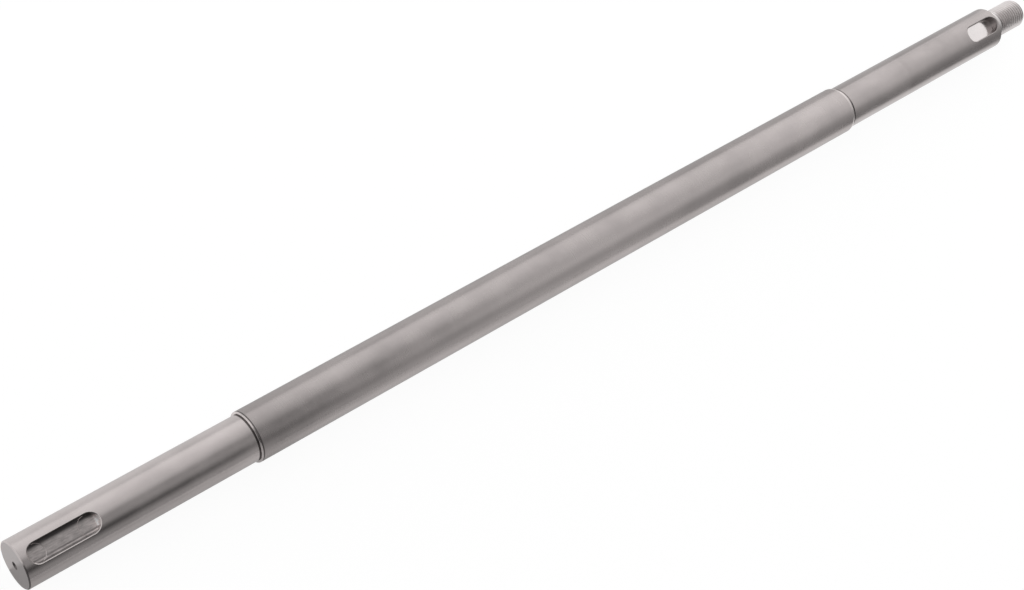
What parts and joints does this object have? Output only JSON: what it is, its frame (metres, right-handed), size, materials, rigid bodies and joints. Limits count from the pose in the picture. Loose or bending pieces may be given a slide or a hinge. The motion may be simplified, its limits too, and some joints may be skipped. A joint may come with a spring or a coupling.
{
  "type": "axle shaft",
  "caption": "Long stepped steel axle shaft with a keyed journal at each end and a threaded stud beyond the far one.",
  "frame": {"origin": "on the shaft's axis, halfway along the main section", "axes": "+X along the shaft's axis, from the near journal to the threaded stud; +Z is the side that both keyways open to; the shaft is shown lying on its main section, but it is a round bar that rolls, so its main section holds it"},
  "size_m": [0.573, 0.022, 0.022],
  "materials": {
    "ground_steel": "turned and ground steel, satin, with fine lines round the shaft"
  },
  "bodies": {
    "root": {"axle_shaft": "ground_steel"}
  },
  "joints": []
}
